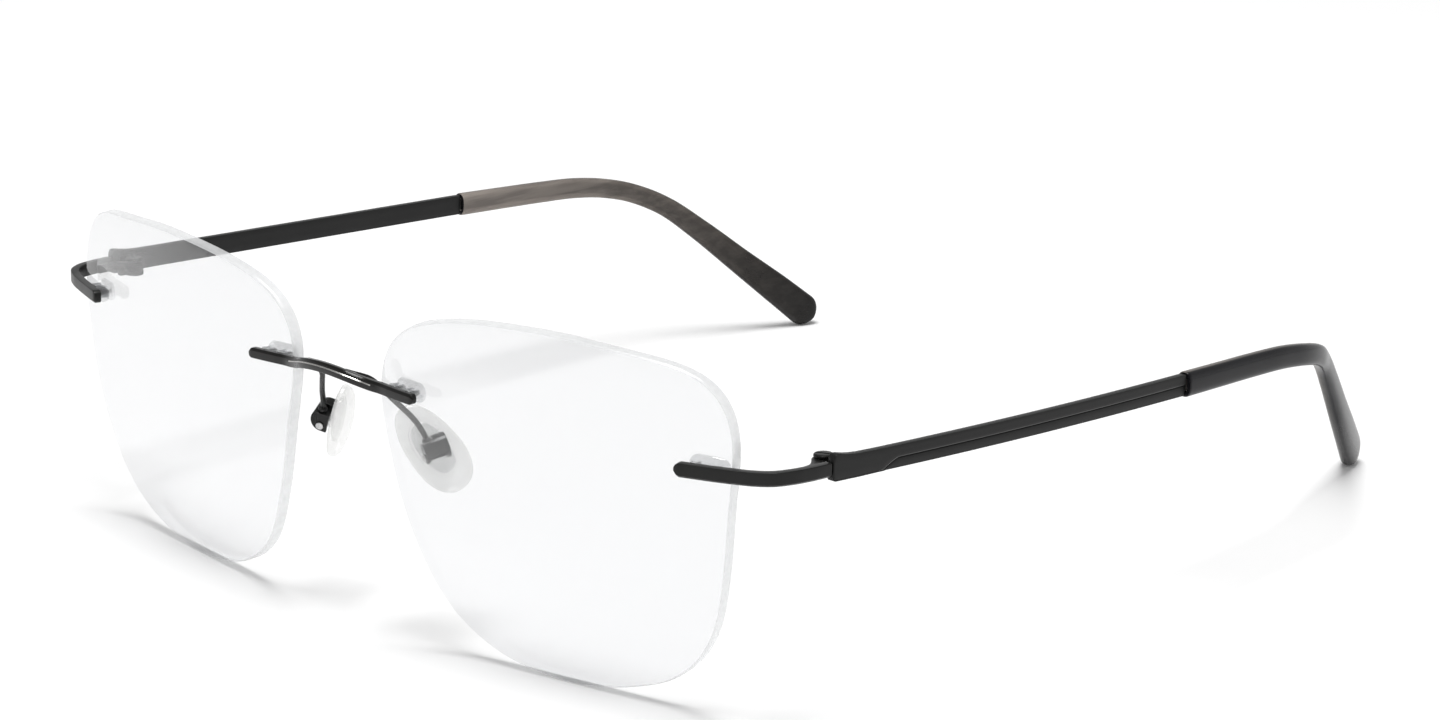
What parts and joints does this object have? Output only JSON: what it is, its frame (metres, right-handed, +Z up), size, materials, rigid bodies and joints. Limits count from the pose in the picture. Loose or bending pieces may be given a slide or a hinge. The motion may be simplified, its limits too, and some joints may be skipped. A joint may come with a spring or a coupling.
{
  "type": "rimless eyeglasses",
  "caption": "Rimless eyeglasses: two drilled lenses on a bar bridge, metal endpieces, hinged flat temples with bent tips and rocking nose pads.",
  "frame": {"origin": "on the surface the open glasses rest on, under the middle of their bounding box, in the plane of symmetry", "axes": "+X towards the wearer's left, +Y from the lenses back along the temples, +Z up; the front of the lenses faces -Y"},
  "size_m": [0.1432, 0.1566, 0.047],
  "materials": {
    "lens": "clear polished lens, ground edge",
    "bushing": "clear moulded plastic",
    "pin_steel": "bright drawn wire",
    "bridge_black": "gloss black",
    "endpiece_black": "satin black",
    "hinge_black": "satin black",
    "temple_black": "satin black",
    "pad_arm_black": "satin black wire",
    "pad_box_black": "gloss black",
    "screw_black": "gloss black slotted screw",
    "screw_steel": "bright slotted screw",
    "pad_insert": "clear moulded plastic",
    "pad_silicone": "clear soft silicone",
    "tip_acetate": "polished smoky translucent acetate"
  },
  "bodies": {
    "front": {"bridge": "bridge_black", "lens_left": "lens", "lens_right": "lens", "endpiece_left": "endpiece_black", "endpiece_right": "endpiece_black", "bushing_nasal_left": "bushing", "bushing_nasal_right": "bushing", "bushing_temporal_left": "bushing", "bushing_temporal_right": "bushing", "bridge_pin_inner_left": "pin_steel", "bridge_pin_inner_right": "pin_steel", "bridge_pin_outer_left": "pin_steel", "bridge_pin_outer_right": "pin_steel", "endpiece_pin_inner_left": "pin_steel", "endpiece_pin_inner_right": "pin_steel", "endpiece_pin_outer_left": "pin_steel", "endpiece_pin_outer_right": "pin_steel", "pad_arm_left": "pad_arm_black", "pad_arm_right": "pad_arm_black", "pad_box_left": "pad_box_black", "pad_box_right": "pad_box_black", "pad_screw_left": "screw_steel", "pad_screw_right": "screw_steel", "hinge_front_left": "hinge_black", "hinge_front_right": "hinge_black", "hinge_screw_left": "screw_black", "hinge_screw_right": "screw_black"},
    "temple_left_body": {"temple_left": "temple_black", "hinge_rear_left": "hinge_black", "temple_tip_left": "tip_acetate"},
    "temple_right_body": {"temple_right": "temple_black", "hinge_rear_right": "hinge_black", "temple_tip_right": "tip_acetate"},
    "nose_pad_left_body": {"nose_pad_left": "pad_silicone", "nose_pad_insert_left": "pad_insert"},
    "nose_pad_right_body": {"nose_pad_right": "pad_silicone", "nose_pad_insert_right": "pad_insert"}
  },
  "joints": [
    {"name": "temple_left_fold", "type": "hinge", "parent": "front", "child": "temple_left_body", "pos_m": [0.0665, -0.05507, 0.03253], "axis": [0, 0, 1], "range_deg": [0, 88]},
    {"name": "temple_right_fold", "type": "hinge", "parent": "front", "child": "temple_right_body", "pos_m": [-0.0665, -0.05507, 0.03253], "axis": [0, 0, -1], "range_deg": [0, 82]},
    {"name": "nose_pad_left_rock", "type": "hinge", "parent": "front", "child": "nose_pad_left_body", "pos_m": [0.01108, -0.06775, 0.02444], "axis": [-0.4612, -0.8485, -0.2594], "range_deg": [-10, 10]},
    {"name": "nose_pad_right_rock", "type": "hinge", "parent": "front", "child": "nose_pad_right_body", "pos_m": [-0.01108, -0.06775, 0.02444], "axis": [-0.4612, 0.8485, 0.2594], "range_deg": [-10, 10]}
  ]
}
